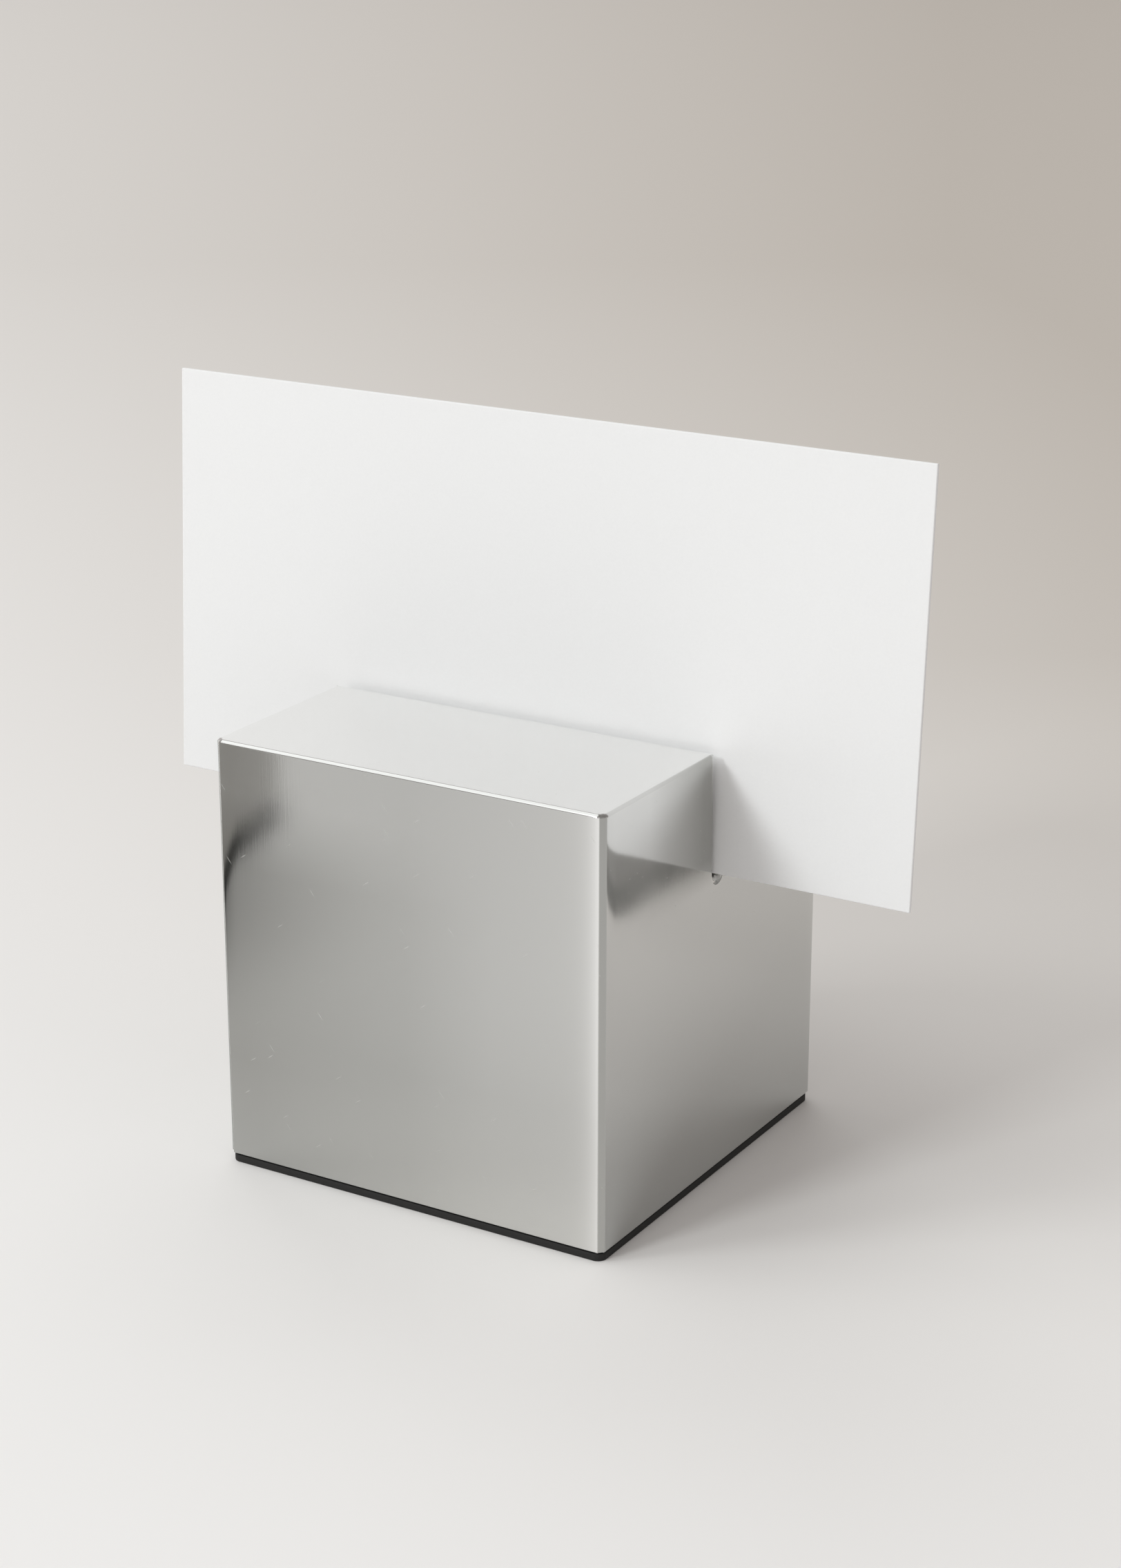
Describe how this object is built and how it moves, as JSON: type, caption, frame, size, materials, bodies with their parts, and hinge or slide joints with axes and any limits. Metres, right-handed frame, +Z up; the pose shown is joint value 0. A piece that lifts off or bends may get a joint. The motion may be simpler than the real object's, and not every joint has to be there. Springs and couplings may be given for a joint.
{
  "type": "place card holder",
  "caption": "Solid polished steel cube with a round-bottomed slot across its top that holds a standing card, on a thin black rubber pad.",
  "frame": {"origin": "middle of the pad's underside, on the table", "axes": "+X along the slot, to the right of someone who faces the card; +Y from the front face to the back; +Z up"},
  "size_m": [0.0874, 0.045, 0.0772],
  "materials": {
    "polished_steel": "fine upright brushing, polished until it mirrors softly",
    "film_adhesive": "thin clear film, hidden in use",
    "pad_rubber": "matt black",
    "card_stock": "uncoated white card"
  },
  "bodies": {
    "holder": {"block": "polished_steel", "adhesive_film": "film_adhesive", "base_pad": "pad_rubber"},
    "card": {"place_card": "card_stock"}
  },
  "joints": [
    {"name": "card_lift", "type": "slide", "parent": "holder", "child": "card", "axis": [0, 0.0564, 0.9984], "range_m": [0, 0.018]}
  ]
}
